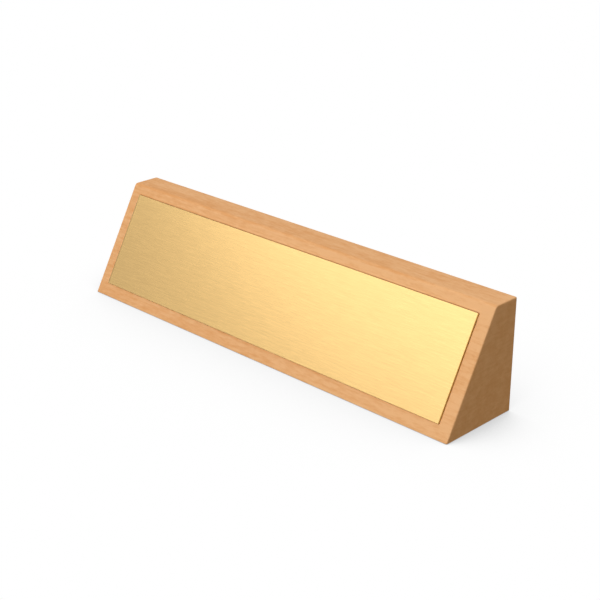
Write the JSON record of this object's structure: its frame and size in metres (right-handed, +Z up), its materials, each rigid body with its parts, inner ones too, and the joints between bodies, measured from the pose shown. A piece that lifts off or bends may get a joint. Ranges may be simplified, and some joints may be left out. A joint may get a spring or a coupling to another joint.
{
  "type": "desk name plate",
  "caption": "Desk name plate: a solid beech wedge with a bare brushed brass plate let into its sloping front, standing on thin rubber feet.",
  "frame": {"origin": "on the desk, at the middle of the footprint, under the feet", "axes": "+X along the plate to the reader's right, +Y from the reader to the upright back, +Z up"},
  "size_m": [0.25, 0.046, 0.0568],
  "materials": {
    "beech": "oiled, satin, grain along the length",
    "brushed_brass": "brushed along the length",
    "tape": "matt foam",
    "foot_rubber": "matt"
  },
  "bodies": {
    "root": {"wedge_block": "beech", "name_plate": "brushed_brass", "upper_tape": "tape", "lower_tape": "tape", "front_left_foot": "foot_rubber", "front_right_foot": "foot_rubber", "back_left_foot": "foot_rubber", "back_right_foot": "foot_rubber"}
  },
  "joints": []
}
